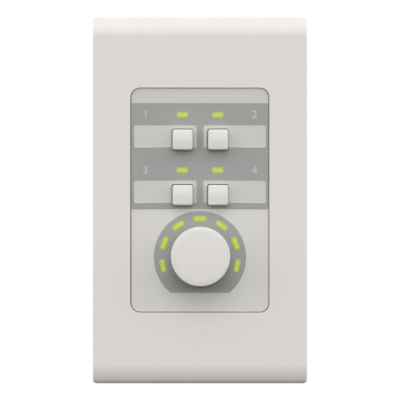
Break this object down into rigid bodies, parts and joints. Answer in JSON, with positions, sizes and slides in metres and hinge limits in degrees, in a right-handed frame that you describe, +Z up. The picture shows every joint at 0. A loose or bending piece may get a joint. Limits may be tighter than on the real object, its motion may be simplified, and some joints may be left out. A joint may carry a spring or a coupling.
{
  "type": "wall audio control panel",
  "caption": "Single-gang wall panel for audio zones: a press-fit plate round a recessed panel with square zone buttons, lit indicators, a serrated level knob and rear bus sockets.",
  "frame": {"origin": "midway between the wall box screw holes, on the wall plane at the back of the strap and of the plate's rim", "axes": "+Z up the wall, -Y out of the wall towards the user, +X to the user's right"},
  "size_m": [0.07, 0.0403, 0.12],
  "materials": {
    "plate_white": "fine satin moulding, warm white",
    "panel_grey": "fine satin moulding, light grey",
    "film_grey": "matt film, mid grey",
    "button_white": "satin moulding, warm white",
    "knob_white": "satin moulding, warm white",
    "lens_green": "clear light pipe, lit yellow-green",
    "strap_steel": "zinc plated sheet",
    "case_black": "spark-textured moulding",
    "board_green": "solder mask",
    "part_black": "moulded component",
    "part_white": "moulded component",
    "part_steel": "nickel plated",
    "contact_gold": "gold plated spring wire",
    "switch_blue": "moulded component",
    "can_aluminium": "drawn can"
  },
  "bodies": {
    "base": {"control_panel": "panel_grey", "zone_overlay": "film_grey", "level_overlay": "film_grey", "zone_lens_1": "lens_green", "zone_lens_2": "lens_green", "zone_lens_3": "lens_green", "zone_lens_4": "lens_green", "level_lens_1": "lens_green", "level_lens_2": "lens_green", "level_lens_3": "lens_green", "level_lens_4": "lens_green", "level_lens_5": "lens_green", "level_lens_6": "lens_green", "level_lens_7": "lens_green", "mounting_strap": "strap_steel", "rear_case": "case_black", "control_board": "board_green", "switch_base_1": "part_black", "switch_base_2": "part_black", "switch_base_3": "part_black", "switch_base_4": "part_black", "encoder_body": "part_black", "controller_chip": "part_black", "transceiver_chip": "part_black", "regulator_chip": "part_black", "bus_jack_in": "part_black", "bus_jack_out": "part_black", "zone_leds": "part_white", "level_leds": "part_white", "encoder_bushing": "part_steel", "encoder_detent": "part_steel", "encoder_washer": "part_steel", "encoder_nut": "part_steel", "case_screws": "part_steel", "board_screws": "part_steel", "jack_in_contacts": "contact_gold", "jack_out_contacts": "contact_gold", "dip_body": "switch_blue", "bulk_capacitor": "can_aluminium"},
    "wall_plate": {"wall_plate": "plate_white"},
    "knob": {"knob": "knob_white", "encoder_shaft": "part_steel", "encoder_rotor": "part_white"},
    "button_1": {"button_1": "button_white", "switch_plunger_1": "part_white"},
    "dip_slider_1": {"dip_slider_1": "part_white"},
    "button_2": {"button_2": "button_white", "switch_plunger_2": "part_white"},
    "dip_slider_2": {"dip_slider_2": "part_white"},
    "button_3": {"button_3": "button_white", "switch_plunger_3": "part_white"},
    "dip_slider_3": {"dip_slider_3": "part_white"},
    "button_4": {"button_4": "button_white", "switch_plunger_4": "part_white"},
    "dip_slider_4": {"dip_slider_4": "part_white"}
  },
  "joints": [
    {"name": "wall_plate_pull", "type": "slide", "parent": "base", "child": "wall_plate", "axis": [0, -1, 0], "range_m": [0, 0.03]},
    {"name": "knob_turn", "type": "hinge", "parent": "base", "child": "knob", "pos_m": [0, -0.0141, -0.01865], "axis": [0, 1, 0], "continuous": true},
    {"name": "button_1_press", "type": "slide", "parent": "base", "child": "button_1", "axis": [0, 1, 0], "range_m": [0, 0.0005], "stiffness_N_per_m": 1200, "springref_m": -0.0005},
    {"name": "button_2_press", "type": "slide", "parent": "base", "child": "button_2", "axis": [0, 1, 0], "range_m": [0, 0.0005], "stiffness_N_per_m": 1200, "springref_m": -0.0005},
    {"name": "button_3_press", "type": "slide", "parent": "base", "child": "button_3", "axis": [0, 1, 0], "range_m": [0, 0.0005], "stiffness_N_per_m": 1200, "springref_m": -0.0005},
    {"name": "button_4_press", "type": "slide", "parent": "base", "child": "button_4", "axis": [0, 1, 0], "range_m": [0, 0.0005], "stiffness_N_per_m": 1200, "springref_m": -0.0005},
    {"name": "dip_slider_1_set", "type": "slide", "parent": "base", "child": "dip_slider_1", "axis": [0, 0, 1], "range_m": [0, 0.0018]},
    {"name": "dip_slider_2_set", "type": "slide", "parent": "base", "child": "dip_slider_2", "axis": [0, 0, 1], "range_m": [0, 0.0018]},
    {"name": "dip_slider_3_set", "type": "slide", "parent": "base", "child": "dip_slider_3", "axis": [0, 0, 1], "range_m": [0, 0.0018]},
    {"name": "dip_slider_4_set", "type": "slide", "parent": "base", "child": "dip_slider_4", "axis": [0, 0, 1], "range_m": [0, 0.0018]}
  ]
}
